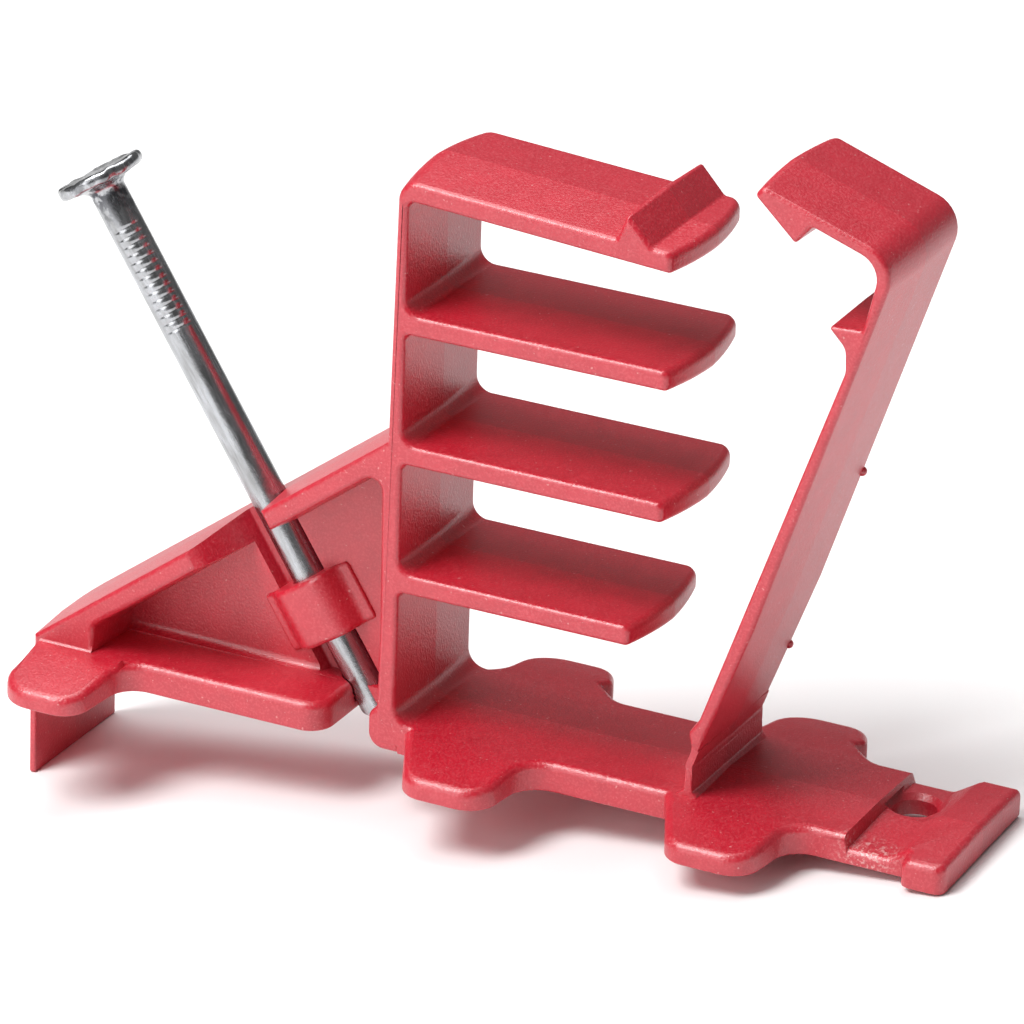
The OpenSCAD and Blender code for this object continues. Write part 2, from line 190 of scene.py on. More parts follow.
# Colours, linear
RED_LOW = (0.48, 0.007, 0.023)
RED_HIGH = (0.56, 0.011, 0.031)
# Painted shade: darker red for the half behind the parting plane.
RED_BEHIND_PAINTED_SHADE = (0.36, 0.005, 0.018)
# Pale grain: partly the plastic's own grain, partly painted glints of its spark-eroded sparkle.
GRAIN_AND_GLINT_PALE = (0.66, 0.075, 0.095)
# Pale specks: partly the plastic's own grain, partly painted glints.
SPECK_AND_GLINT_PALE = (0.72, 0.35, 0.34)
# Pale chips at the recess's front edge: partly rubbed wear, partly a painted highlight of that rounded
# edge.
CHIP_AND_HIGHLIGHT_PALE = (0.80, 0.55, 0.52)
STEEL_PALE = (0.56, 0.57, 0.60)
SCALE_DARK = (0.05, 0.05, 0.06)
FLOOR_PALE = (0.95, 0.95, 0.95)


def flange_top(x):
    return FLANGE_Z + x * FLANGE_SLOPE


def flange_under(x):
    return flange_top(x) - FLANGE_DROP


def arm_top(x):
    return ARM_Z + ARM_T / 2 - x * ARM_DROOP


def arm_under(x):
    return arm_top(x) - ARM_T


def rounded(corners, inset=0.0):
    """Closed outline of (x, y, radius) corners, counter-clockwise, moved inwards and rounded."""
    flat = np.array([c[:2] for c in corners], float)
    ahead = np.roll(flat, -1, 0) - flat
    ahead /= np.linalg.norm(ahead, axis=1)[:, None]
    inward = np.stack([-ahead[:, 1], ahead[:, 0]], 1)
    before = np.roll(inward, 1, 0)
    lean = 1 + (inward * before).sum(1)
    moved = flat + inset * (inward + before) / lean[:, None]
    points = []
    for i, corner in enumerate(corners):
        a, b, c = moved[i - 1], moved[i], moved[(i + 1) % len(corners)]
        back, on = a - b, c - b
        reach_max = 0.48 * min(np.linalg.norm(back), np.linalg.norm(on))
        back, on = back / np.linalg.norm(back), on / np.linalg.norm(on)
        convex = back[1] * on[0] - back[0] * on[1] > 0
        half = math.acos(max(-1.0, min(1.0, back @ on))) / 2
        if half > math.radians(STRAIGHT_DEG):
            points += [b] * (CORNER_STEPS + 1)
            continue
        radius = max(corner[2] - inset if convex else corner[2] + inset, SHARP_R)
        reach = min(radius / math.tan(half), reach_max)
        radius = reach * math.tan(half)
        bisector = (back + on) / np.linalg.norm(back + on)
        middle = b + bisector * radius / math.sin(half)
        start, end = b + back * reach - middle, b + on * reach - middle
        angle = math.atan2(start[1], start[0])
        turn = (math.atan2(end[1], end[0]) - angle + math.pi) % (2 * math.pi) - math.pi
        for k in range(CORNER_STEPS + 1):
            t = angle + turn * k / CORNER_STEPS
            points.append(middle + radius * np.array([math.cos(t), math.sin(t)]))
    return points


def quarter_turn():
    return [math.pi / 2 * k / EDGE_STEPS for k in range(EDGE_STEPS + 1)]


def edge_levels(half, edge_r, crown, between):
    """Levels (y, inset) of a moulding from front to rear, with rounded edges and a parting ridge."""
    front = [(-half + edge_r * (1 - math.cos(a)), edge_r * (1 - math.sin(a))) for a in quarter_turn()]
    middle = [(y, 0.0) for y in between if abs(y) < half - edge_r - 0.02]
    rear = [(-y, inset) for y, inset in reversed(front)]
    return [(y, inset - crown * (1 - abs(y) / half)) for y, inset in front + middle + rear]


def mesh_of(loops):
    """Closed mesh through loops of equally many points, capped at both ends."""
    n = len(loops[0])
    mesh = bmesh.new()
    verts = [mesh.verts.new(Vector(p) * MM) for loop in loops for p in loop]
    for k in range(len(loops) - 1):
        for i in range(n):
            j = (i + 1) % n
            low, high = k * n, (k + 1) * n
            mesh.faces.new([verts[low + i], verts[high + i], verts[high + j], verts[low + j]])
    mesh.faces.new(verts[:n])
    mesh.faces.new(reversed(verts[-n:]))
    return tidy(mesh)


def tidy(mesh):
    """Merges points that coincide and turns the faces outwards."""
    bmesh.ops.remove_doubles(mesh, verts=mesh.verts, dist=0.002 * MM)
    bmesh.ops.dissolve_degenerate(mesh, edges=mesh.edges, dist=0.0005 * MM)
    bmesh.ops.recalc_face_normals(mesh, faces=mesh.faces)
    return mesh


def object_of(name, mesh):
    data = bpy.data.meshes.new(name)
    mesh.to_mesh(data)
    mesh.free()
    piece = bpy.data.objects.new(name, data)
    bpy.context.scene.collection.objects.link(piece)
    return piece


def as_drawn(x, y, z):
    return (x, y, z)


def across(name, corners, half, edge_r=EDGE_ROUND, crown=PARTING_CROWN, place=as_drawn):
    """Moulding whose outline in X and Z comes from corners(y), between two rounded faces."""
    between = [*range(-5, 5), 4.7, 5.1, 5.35, 5.5]
    loops = []
    for y, inset in edge_levels(half, edge_r, crown, between):
        loops.append([place(x, y, z) for x, z in rounded(corners(y), inset)])
    return object_of(name, mesh_of(loops))


def bow(y):
    """How far a bowed end is drawn back at y, with a rounder corner at the rear."""
    back = END_BOW * ((y - BOW_Y) / HALF_W) ** 2
    over = (y - (HALF_W - REAR_CORNER)) / REAR_CORNER
    if over > 0:
        back += REAR_CORNER * (1 - math.sqrt(max(0.0, 1 - min(over, 1.0) ** 2)))
    return back


def comb_corners(y):
    """Column, shelves and arm, drawn from the foot up and back down the column's outer face."""
    pull = bow(y)
    low, reach = 0.5, 6
    sunk, rise = EDGE_T - 0.2, EDGE_T + 0.2
    corners = [(-COL_ROOT_T, low, 0.1), (reach, low, 0.1), (reach, sunk, 0.1), (0, rise, FOOT_R)]
    for z, length in zip(SHELF_Z, SHELF_LEN):
        under, over, end = z - SHELF_T / 2, z + SHELF_T / 2, length - pull
        corners += [(0, under, ROOF_R), (end, under, SHELF_UNDER_R)]
        corners += [(end, over, SHELF_OVER_R), (0, over, FLOOR_R)]
    end = ARM_LEN - pull
    crest_x = BARB_X + BARB_LEAN
    ramp_foot = crest_x + BARB_RAMP
    swell = TOP_RIDGE * (1 - (y / HALF_W) ** 2)
    flat = PARTING_CROWN * (1 - abs(y) / HALF_W)
    corners += [
        (0, arm_under(0) + flat, ROOF_R),
        (end, arm_under(end) + flat, 0.3),
        (end, arm_top(end), SHELF_OVER_R),
        (ramp_foot, arm_top(ramp_foot), 0.5),
        (crest_x, arm_top(BARB_X) + BARB_H, 0.2),
        (BARB_X, arm_top(BARB_X), 0.3),
        (-COL_TOP_T - swell, arm_top(0) + 0.5 * swell, TOP_CORNER_R),
    ]
    return corners


def draft(y):
    """Nothing at the pocket's mouth, one at the web."""
    return 1 - min(max((abs(y) - WEB_HALF) / (HALF_W - WEB_HALF), 0.0), 1.0)


def gusset_corners(y):
    """Flange with the solid tip and the rim beside the column, its pockets drafted to the web."""
    along = (y + HALF_W + TIP_LOBE_OUT) / (2 * HALF_W + TIP_LOBE_OUT)
    left = TIP_FRONT_X + (TIP_REAR_X - TIP_FRONT_X) * along + TIP_STAND_BACK
    round_in = max(0.0, y - (HALF_W - TIP_REAR_R))
    left += TIP_REAR_R - math.sqrt(TIP_REAR_R**2 - round_in**2)
    low, sill, inside = 0.1, 2.8, -0.3
    closing = draft(y)
    wall = POCKET_X + POCKET_DRAFT * closing
    rim = -COL_ROOT_T - POCKET_DRAFT * closing
    drop = FLANGE_DRAFT * closing
    return [
        (left, low, SHARP_R),
        (wall, low, SHARP_R),
        (wall, flange_under(wall) - drop, POCKET_R),
        (rim, flange_under(rim) - drop, POCKET_R),
        (rim + 0.2, sill, 0.3),
        (inside, sill, 0.1),
        (inside, flange_top(inside), 0.1),
        (left, flange_top(left), 0.05),
    ]


def on_flange(s):
    """Distance along the nail at which the flange's face is crossed, at s beside the nail's axis."""
    foot = NAIL_FOOT + NAIL_SIDE * s
    return (flange_top(foot.x) - foot.z) / (NAIL_UP.z - NAIL_UP.x * FLANGE_SLOPE)


def web_section(x):
    """Web across the strip at x, flared by fillets on to the strip."""
    low, foot = 1.2, EDGE_T + 0.85 * CROWN
    top = flange_under(x) + 0.3
    arc = [(FILLET_R * (1 - math.sin(a)), FILLET_R * (1 - math.cos(a))) for a in quarter_turn()]
    flare = [(-WEB_HALF - out, foot + up) for out, up in arc]
    front = [(-WEB_HALF - FILLET_R, low)] + flare + [(-WEB_HALF, top)]
    rear = [(-y, z) for y, z in reversed(front)]
    return [(x, y, z) for y, z in front + rear]


def web():
    """Web of the gusset on the parting plane, from the tip to the column."""
    return object_of("web", mesh_of([web_section(x) for x in (POCKET_X - 0.6, -0.8)]))


def toe_corners(y):
    """Rounded toe of the column, beside the nail's slot in the strip."""
    left, right, low, high = -2.1, 0.4, 0.05, 3.15
    return [
        (left, low, 1.5),
        (right, low, 0.2),
        (right, 2.3, 0.2),
        (-0.4, high, 0.2),
        (left, high, 1.5),
    ]


def lip_corners(y):
    return [
        (LIP_X, -LIP_DEPTH, 0.15),
        (LIP_X + LIP_T, -LIP_DEPTH, 0.15),
        (LIP_X + LIP_T, 1.0, 0.1),
        (LIP_X, 1.0, 0.1),
    ]


def foot_corners(y):
    """Foot of the living hinge, flared on to the strip and notched under the gate."""
    x, top = HINGE.x, HINGE.z - 0.25
    return [
        (x - 0.75, 1.0, 0.1),
        (x + 0.8, 1.0, 0.1),
        (x + 0.8, EDGE_T + 0.05, 0.1),
        (x + 0.45, EDGE_T + 0.35, 0.3),
        (x + 0.36, HINGE.z - 0.7, 0.12),
        (x + 0.25, HINGE.z - 0.45, 0.1),
        (x + 0.15, top, 0.05),
        (x - 0.15, top, 0.05),
        (x - 0.22, EDGE_T + 0.5, 0.3),
        (x - 0.75, EDGE_T + 0.05, 0.1),
    ]


def gate_corners(y):
    """Gate in its closed position, from its foot up its outer side and back down the inner."""
    pull = 0.5 * bow(y)
    keeper = KEEPER[1] - GATE_CROWN * (1 - abs(y) / GATE_HALF)
    return [
        (-0.4, 1.5, 0.1),
        (GATE_OUT - 0.25, 1.5, 0.1),
        (GATE_OUT - 0.2, 3.0, 1.0),
        (GATE_OUT, 12.0, 4.0),
        (GATE_OUT - GATE_BEND, HOOK_TOP, 2.4),
        (HOOK_END + 0.4 + pull, HOOK_TOP, 0.5),
        (HOOK_END + pull, HOOK_UNDER, 0.3),
        (TOOTH[0], TOOTH[1], 0.2),
        (TOOTH[0] + 0.7, HOOK_UNDER, 0.3),
        (GATE_IN - GATE_BEND, HOOK_UNDER, 1.8),
        (GATE_IN, keeper + 1.0, 0.3),
        (KEEPER[0], keeper, 0.2),
        (GATE_IN - 0.65, KEEPER[1] - 0.9, 1.2),
        (GATE_IN, KEEPER[1] - 2.5, 1.5),
        (GATE_IN, 3.6, 0.5),
        (GATE_IN - 0.35, 2.3, 0.4),
    ]


def neck_corners(y):
    """Neck between the gate's foot and the living hinge."""
    return [
        (-0.15, 0.25, 0.05),
        (0.15, 0.25, 0.05),
        (0.25, 0.5, 0.1),
        (GATE_OUT - 0.26, 0.8, 0.3),
        (GATE_OUT - 0.3, 2.2, 0.1),
        (GATE_IN + 0.05, 2.2, 0.1),
        (-0.15, 1.0, 0.3),
    ]


def leaned(p, y, q):
    """Point of the closed gate, turned out to where it was moulded."""
    c, s = math.cos(GATE_LEAN), math.sin(GATE_LEAN)
    return (HINGE.x + p * c + q * s, y, HINGE.z - p * s + q * c)


def lobe(cx):
    """Plan of a front lobe about cx, from its left root round to its right one."""
    left, right, rim = cx - LOBE_LEN / 2, cx + LOBE_LEN / 2, -HALF_W - LOBE_OUT
    return [
        (left, -HALF_W, 0.3),
        (left + LOBE_RAKE, rim, 2.1),
        (right - 1, rim, 2.3),
        (right - 0.4, -HALF_W, 2.4),
    ]


def rear_lobe(cx):
    """Plan of a rear lobe about cx, from its right root, with a notch on that side."""
    left, right, rim = cx - REAR_LOBE_LEN / 2, cx + REAR_LOBE_LEN / 2, HALF_W + LOBE_OUT
    return [
        (right + 2.2, HALF_W, 2.0),
        (right - 0.4, HALF_W + 2.6, 0.35),
        (right + 0.2, HALF_W + 3.5, 0.6),
        (right - 0.9, rim, 2.2),
        (left + 0.2, rim, 3.0),
        (left - 0.4, HALF_W, 2.2),
    ]


def strip_plan():
    """Plan of the strip, counter-clockwise from the tip lobe."""
    rim, right = -HALF_W - TIP_LOBE_OUT, TIP_FRONT_X + TIP_LOBE_LEN
    tip = [
        (TIP_FRONT_X, rim, 2.8),
        (right, rim, 2.0),
        (right + TIP_LOBE_SIDE, -HALF_W, 2.0),
        (SLOT_LEFT, -HALF_W, 1.9),
        (SLOT_LEFT, 0, 0.1),
        (SLOT_RIGHT, 0, 0.1),
        (SLOT_RIGHT, -HALF_W, 0.1),
    ]
    stops = [STEP_AT, STEP_AT + STEP_SLOPE]
    front_stops = [(x, -HALF_W, 0) for x in stops + [RAMP_AT]]
    rear_stops = [(x, HALF_W, 0) for x in reversed(stops)]
    block = [
        (BLOCK_AT, -HALF_W, 0.2),
        (BLOCK_AT, -BLOCK_HALF, 1.0),
        (END_X, -BLOCK_HALF, 0.8),
        (END_X - END_SKEW / 2, 0, 0),
        (END_X - END_SKEW, BLOCK_HALF, 0.3),
        (BLOCK_AT, BLOCK_HALF, 0.3),
        (RAMP_AT, HALF_W, 1.5),
    ]
    return (
        tip
        + lobe(COL_LOBE_X)
        + lobe(GATE_LOBE_X)
        + front_stops
        + block
        + rear_stops
        + rear_lobe(GATE_LOBE_X + REAR_GATE_SHIFT)
        + rear_lobe(COL_LOBE_X + REAR_COL_SHIFT)
        + [(TIP_REAR_X, HALF_W, TIP_REAR_R)]
    )


def strip_top(x, y):
    """Height of the strip's upper face: crowned, falling over the lobes, sloped at the tip, stepped."""
    out = abs(y)
    over = max(out - HALF_W, 0) / LOBE_OUT
    z = EDGE_T + CROWN * (1 - min(out, HALF_W) / HALF_W) - LOBE_FALL * over**1.5
    if x > STEP_AT:
        down = min((x - STEP_AT) / STEP_SLOPE, 1.0)
        up = min(max((x - RAMP_AT) / (BLOCK_AT - RAMP_AT), 0.0), 1.0)
        recess = RECESS_T - RECESS_FALL * min(max(-y, 0.0) / HALF_W, 1.0)
        z = z + (recess - z) * down * (1 - up)
    return min(z, flange_top(x) - 0.06)


def strip():
    """Strip with its lobes, stepped free end and sloped tip."""
    plan = strip_plan()
    loops = []
    for a in quarter_turn():
        inset = STRIP_UNDER_ROUND * (1 - math.sin(a))
        z = STRIP_UNDER_ROUND * (1 - math.cos(a))
        loops.append([(x, y, z) for x, y in rounded(plan, inset)])
    for a in quarter_turn():
        inset = STRIP_ROUND * (1 - math.cos(a))
        fall = STRIP_ROUND * (1 - math.sin(a))
        points = rounded(plan, inset)
        loops.append([(x, y, max(strip_top(x, y) - fall, 0.3)) for x, y in points])
    mesh = mesh_of(loops)
    tip_edge = (EDGE_T - FLANGE_Z) / FLANGE_SLOPE
    stops = (tip_edge, STEP_AT, STEP_AT + STEP_SLOPE, RAMP_AT, BLOCK_AT)
    cuts = [((x, 0, 0), (1, 0, 0)) for x in stops]
    lines = (0, HALF_W, HALF_W + 1, HALF_W + 2, HALF_W + 3.5, HALF_W + 5)
    cuts += [((0, side * y, 0), (0, 1, 0)) for y in lines for side in (-1, 1)]
    upper = mesh.faces.layers.int.new("upper")
    max((f for f in mesh.faces if f.normal.z > 0.9), key=lambda f: len(f.verts))[upper] = 1
    for at, normal in cuts:
        caps = [f for f in mesh.faces if f[upper]]
        geom = caps + list({e for f in caps for e in f.edges}) + list({v for f in caps for v in f.verts})
        bmesh.ops.bisect_plane(mesh, geom=geom, dist=0.001 * MM, plane_co=Vector(at) * MM, plane_no=normal)
        for v in {v for f in mesh.faces if f[upper] for v in f.verts}:
            v.co.z = strip_top(v.co.x / MM, v.co.y / MM) * MM
    return object_of("strip", tidy(mesh))


def nail_frame(s, y, t):
    """Point beside the nail: s across it in the X and Z plane, y across the strip, t along it."""
    p = NAIL_FOOT + NAIL_SIDE * s + NAIL_UP * t
    return (p.x, y, p.z)


def along_nail(name, corners, levels):
    """Solid whose section across the nail comes from corners, at levels of (t, inset)."""
    loops = [[nail_frame(s, y, t) for s, y in rounded(corners, inset)] for t, inset in levels]
    return object_of(name, mesh_of(loops))


def facing(corners, side):
    """Section as drawn in front of the nail, or mirrored behind it where side is -1."""
    return corners if side > 0 else [(s, -y, r) for s, y, r in reversed(corners)]


def saddle_section(side):
    """Half tube over one side of the nail, filleted on to thin feet."""
    shoulder, root = 0.75 * SADDLE_OUT, 1.15 * SADDLE_OUT
    corners = [
        (-GUIDE_HALF, 0.3, 0.05),
        (-GUIDE_HALF, -PAD_OUT, 0.2),
        (-root, -PAD_OUT, 0.8),
        (-shoulder, -SADDLE_OUT, 1.8),
        (shoulder, -SADDLE_OUT, 1.8),
        (root, -PAD_OUT, 0.8),
        (GUIDE_HALF, -PAD_OUT, 0.2),
        (GUIDE_HALF, 0.3, 0.05),
    ]
    return facing(corners, side)


def saddles():
    """Saddle in front of the nail with softened ends, and the long one behind it."""
    soft = 0.4
    start = [(SADDLE_FROM + soft * (1 - math.cos(a)), soft * (1 - math.sin(a))) for a in quarter_turn()]
    stop = [(SADDLE_TO - (t - SADDLE_FROM), inset) for t, inset in reversed(start)]
    front = along_nail("front_saddle", saddle_section(1), start + stop)
    rear_from = GUIDE_HALF * NAIL_SIDE.z / NAIL_UP.z + 0.3
    rear_to = on_flange(0) - 1
    rear = along_nail("rear_saddle", saddle_section(-1), [(rear_from, 0), (rear_to, 0)])
    return [front, rear]


def funnel(wide):
    """Section of the guide's open front: a wide mouth whose walls draw in to the nail."""
    face, mouth = -HALF_W - 0.05, -WEB_HALF - 0.15
    return [
        (-wide, CUT_FAR, SHARP_R),
        (wide, CUT_FAR, SHARP_R),
        (wide, face, SHARP_R),
        (GUIDE_RIGHT, face, 0.8),
        (1.8, mouth, 0.2),
        (1.3, 0.45, SHARP_R),
        (-1.3, 0.45, SHARP_R),
        (-2.3, 0.3, 0.2),
        (-2.6, mouth, 0.3),
        (-GUIDE_LEFT, face, 1.6),
        (-wide, face, SHARP_R),
    ]


def rear_funnel():
    """Section of the guide's open rear, opposite the front saddle."""
    half, mouth, throat = GUIDE_HALF + 0.1, WEB_HALF + 0.2, 0.85 * GUIDE_R
    corners = [
        (-half, CUT_FAR, SHARP_R),
        (half, CUT_FAR, SHARP_R),
        (half, -mouth, SHARP_R),
        (0.94 * throat, 0.34 * throat, SHARP_R),
        (-0.94 * throat, 0.34 * throat, SHARP_R),
        (-half, -mouth, SHARP_R),
    ]
    return facing(corners, -1)


def ring(radius):
    turn = 2 * math.pi / RING_STEPS
    return [(radius * math.cos(turn * k), radius * math.sin(turn * k)) for k in range(RING_STEPS)]


def low_funnel():
    """Open front below the saddle, from the strip's upper face up."""
    floor = EDGE_T + CROWN + 0.02
    section = rounded(funnel(wide=5.2))
    low = [nail_frame(s, y, (floor - s * NAIL_SIDE.z) / NAIL_UP.z) for s, y in section]
    high = [nail_frame(s, y, SADDLE_FROM) for s, y in section]
    return object_of("funnel_low", mesh_of([low, high]))


def guide_cutters():
    """The nail's bore and the openings that leave it free in front and behind."""
    below, beyond, short = -6, 40, 0.25
    bore = mesh_of([[nail_frame(s, y, t) for s, y in ring(GUIDE_R)] for t in (below, beyond)])
    return [
        object_of("bore", bore),
        low_funnel(),
        along_nail("funnel_high", funnel(wide=14), [(SADDLE_TO, 0), (CUT_ABOVE, 0)]),
        along_nail("funnel_rear", rear_funnel(), [(SADDLE_FROM + short, 0), (SADDLE_TO - short, 0)]),
    ]


def hole_cutter():
    """Spare hole with its bevel."""
    bevel = [(RECESS_T - HOLE_BEVEL, HOLE_R), (RECESS_T + HOLE_BEVEL, HOLE_R + 2 * HOLE_BEVEL)]
    levels = [(-1, HOLE_R)] + bevel
    loops = [[(HOLE.x + x, HOLE.y + y, z) for x, y in ring(r)] for z, r in levels]
    return object_of("hole", mesh_of(loops))


def fillet(name, start, end, radius):
    """Concave fillet between an upright face that looks to the front and the strip below it."""
    sunk = 0.06
    arc = [(radius * (1 - math.cos(a)), radius * (1 - math.sin(a))) for a in quarter_turn()]
    section = [(-sunk, -sunk), (-sunk, radius)] + [(out, up) for out, up in arc] + [(radius, -sunk)]
    loops = [[(x, y - out, z + up) for out, up in section] for x, y, z in (start, end)]
    return object_of(name, mesh_of(loops))


def tip_fillet():
    """Fillet between the gusset's front face and the tip lobe."""
    sunk = 0.08
    y, z = -HALF_W + sunk, EDGE_T - sunk
    return fillet("tip_fillet", (TIP_FRONT_X - 0.4, y, z), (POCKET_X - 0.02, y, z), 0.5)


def combine(target, others, operation):
    """Unites others with target, or carves them out of it, and removes them."""
    for other in others:
        modifier = target.modifiers.new(operation.lower(), "BOOLEAN")
        modifier.operation = operation
        modifier.solver = "EXACT"
        modifier.object = other
        graph = bpy.context.evaluated_depsgraph_get()
        made = bpy.data.meshes.new_from_object(target.evaluated_get(graph))
        target.modifiers.clear()
        target.data = made
        bpy.data.objects.remove(other)
    return target


def finish_shading(piece):
    """Smooth rounds, crisp steps and flat faces that stay flat."""
    mesh = bmesh.new()
    mesh.from_mesh(piece.data)
    for face in mesh.faces:
        face.smooth = True
    for edge in mesh.edges:
        on_parting = all(abs(v.co.y) < 0.001 * MM for v in edge.verts)
        if len(edge.link_faces) == 2 and (on_parting or edge.calc_face_angle(0) > math.radians(SHARP_DEG)):
            edge.smooth = False
    mesh.to_mesh(piece.data)
    mesh.free()
    weighted = piece.modifiers.new("weighted_normals", "WEIGHTED_NORMAL")
    weighted.keep_sharp = True
    weighted.weight = 60
    return piece


def clip():
    """The one-piece moulding."""
    body = strip()
    solids = [
        across("comb", comb_corners, HALF_W + 0.02),
        across("gusset", gusset_corners, HALF_W - 0.02, crown=0.12),
        web(),
        across("toe", toe_corners, HALF_W - 0.05),
        across("lip", lip_corners, HALF_W, edge_r=0.15, crown=0),
        across("foot", foot_corners, GATE_HALF, edge_r=0.12, crown=0.03),
    ]
    combine(body, solids + [tip_fillet()] + saddles(), "UNION")
    combine(body, guide_cutters() + [hole_cutter()], "DIFFERENCE")
    body.name = "moulded_clip"
    return finish_shading(body)


def nub(q, size):
    """Bump of flash on the gate's rear edge."""
    ball = bmesh.new()
    bmesh.ops.create_icosphere(ball, subdivisions=3, radius=size * MM)
    where = Vector(leaned(GATE_OUT - 0.2, GATE_HALF - 0.22, q)) * MM
    bmesh.ops.translate(ball, verts=ball.verts, vec=where)
    return object_of("nub", ball)


def gate():
    """Gate with its neck and two bumps of flash, open as it was moulded."""
    piece = across("swing_gate", gate_corners, GATE_HALF, edge_r=0.34, crown=GATE_CROWN, place=leaned)
    neck = across("neck", neck_corners, GATE_HALF - 0.05, edge_r=0.08, crown=0, place=leaned)
    combine(piece, [neck, nub(q=20.9, size=0.36), nub(q=5.7, size=0.34)], "UNION")
    return finish_shading(piece)


def membrane():
    """Thin web of the living hinge, bending between foot and gate."""
    inner, outer, half_w = -0.13, 0.37, GATE_HALF - 0.03
    low, length, steps, half = -1.1, 2.5, 16, 0.3
    section = [(inner, -half_w), (outer, -half_w), (outer, half_w), (inner, half_w)]
    loops = []
    for k in range(steps + 1):
        q = low + length * k / steps
        bend = min(max((q + half) / (2 * half), 0.0), 1.0)
        straight = [Vector((HINGE.x + p, y, HINGE.z + q)) for p, y in section]
        tilted = [Vector(leaned(p, y, q)) for p, y in section]
        loops.append([a.lerp(b, bend) for a, b in zip(straight, tilted)])
    return object_of("hinge_web", mesh_of(loops))


def grip_mark(t, angle):
    """Depth of the grip marks at t along the shank, pressed into its front and its back."""
    first = NAIL_LEN - GRIPS_BELOW
    if not first - GRIP_PITCH * (GRIP_COUNT - 0.5) < t < first + 0.5 * GRIP_PITCH:
        return 0.0
    wave = 0.5 + 0.5 * math.cos(2 * math.pi * (t - first) / GRIP_PITCH)
    front = -1.1
    spread = max(0.0, abs(math.cos(angle - front)) - 0.45) / 0.55
    return GRIP_DEPTH * wave**2 * min(1.0, 2 * spread)


def head_profile():
    """Radius and place along the nail of the cone under the head, the rim and the top."""
    rim, half_t = 0.3, HEAD_T / 2
    cone = [
        (NAIL_R, -0.7),
        (NAIL_R + 0.1, -0.5),
        (NAIL_R + 0.35, -0.32),
        (NAIL_R + 0.8, -0.17),
        (HEAD_R - rim, -0.02),
    ]
    edge = []
    for k in range(9):
        a = math.pi * (k / 8 - 0.5)
        edge.append((HEAD_R - rim + rim * math.cos(a), half_t + half_t * math.sin(a)))
    top = [(HEAD_R - 0.8, HEAD_T - 0.02), (1.6, HEAD_T - 0.09), (0.5, HEAD_T - 0.06)]
    return cone + edge + top


def struck(r, angle):
    """How far the head's rim is dented, along the radius and along the nail."""
    sound = 2.2
    rough = max(0.0, (r - sound) / (HEAD_R - sound))
    out = 0.05 * math.sin(3 * angle + 1) + 0.04 * math.sin(7 * angle + 2) + 0.03 * math.sin(13 * angle)
    up = 0.07 * math.sin(4 * angle + 0.5) + 0.06 * math.sin(9 * angle + 1) + 0.03 * math.sin(16 * angle)
    return min(0.0, out - 0.08) * rough, up * rough


def nail():
    """Nail with grip marks and a struck head, cut off level with the strip's underside."""
    angles = [2 * math.pi * k / NAIL_STEPS for k in range(NAIL_STEPS)]
    plain = [-2.0 + 0.5 * k for k in range(64)]
    fine = [NAIL_LEN - 13 + 0.05 * k for k in range(235)]
    levels = sorted(t for t in plain + fine if t < NAIL_LEN - 0.75)
    loops = []
    for t in levels:
        loop = []
        for a in angles:
            r = NAIL_R - grip_mark(t, a)
            loop.append(nail_frame(r * math.cos(a), r * math.sin(a), t))
        loops.append(loop)
    for r, t in head_profile():
        loop = []
        for a in angles:
            out, up = struck(r, a)
            far, high = r + out, NAIL_LEN + t + min(up, 0.02)
            loop.append(nail_frame(far * math.cos(a), far * math.sin(a), high))
        loops.append(loop)
    mesh = mesh_of(loops)
    whole = mesh.verts[:] + mesh.edges[:] + mesh.faces[:]
    floor = (0, 0, 0.02 * MM)
    cut = bmesh.ops.bisect_plane(mesh, geom=whole, plane_co=floor, plane_no=(0, 0, 1), clear_inner=True)
    rim = [e for e in cut["geom_cut"] if isinstance(e, bmesh.types.BMEdge)]
    bmesh.ops.edgeloop_fill(mesh, edges=rim)
    bmesh.ops.recalc_face_normals(mesh, faces=mesh.faces)
    return finish_shading(object_of("wire_nail", mesh))


def node_tree(name):
    material = bpy.data.materials.new(name)
    material.use_nodes = True
    tree = material.node_tree
    shader = tree.nodes["Principled BSDF"]
    where = tree.nodes.new("ShaderNodeTexCoord")
    return material, tree, shader, where.outputs["Object"]


def noise(tree, where, scale, detail, roughness):
    node = tree.nodes.new("ShaderNodeTexNoise")
    node.inputs["Scale"].default_value = scale
    node.inputs["Detail"].default_value = detail
    node.inputs["Roughness"].default_value = roughness
    tree.links.new(where, node.inputs["Vector"])
    return node.outputs["Fac"]


def ramp(tree, value, stops):
    node = tree.nodes.new("ShaderNodeValToRGB")
    while len(node.color_ramp.elements) < len(stops):
        node.color_ramp.elements.new(0.5)
    for element, (at, colour) in zip(node.color_ramp.elements, stops):
        element.position = at
        element.color = (*colour, 1)
    tree.links.new(value, node.inputs["Fac"])
    return node.outputs["Color"]


def grey(level):
    return (level, level, level)


def blended(tree, amount, under, over):
    """Colour over laid on colour under by amount."""
    node = tree.nodes.new("ShaderNodeMix")
    node.data_type = "RGBA"
    tree.links.new(amount, node.inputs["Factor"])
    tree.links.new(under, node.inputs["A"])
    node.inputs["B"].default_value = (*over, 1)
    return node.outputs["Result"]


def times(tree, a, b):
    node = tree.nodes.new("ShaderNodeMath")
    node.operation = "MULTIPLY"
    tree.links.new(a, node.inputs[0])
    tree.links.new(b, node.inputs[1])
    return node.outputs["Value"]


def near(tree, where, point, reach):
    """One at a point of the part, falling to nothing at reach."""
    distance = tree.nodes.new("ShaderNodeVectorMath")
    distance.operation = "DISTANCE"
    tree.links.new(where, distance.inputs[0])
    distance.inputs[1].default_value = Vector(point) * MM
    fall = tree.nodes.new("ShaderNodeMapRange")
    fall.inputs["From Min"].default_value = reach * MM
    fall.inputs["From Max"].default_value = 0.35 * reach * MM
    tree.links.new(distance.outputs["Value"], fall.inputs["Value"])
    return fall.outputs["Result"]


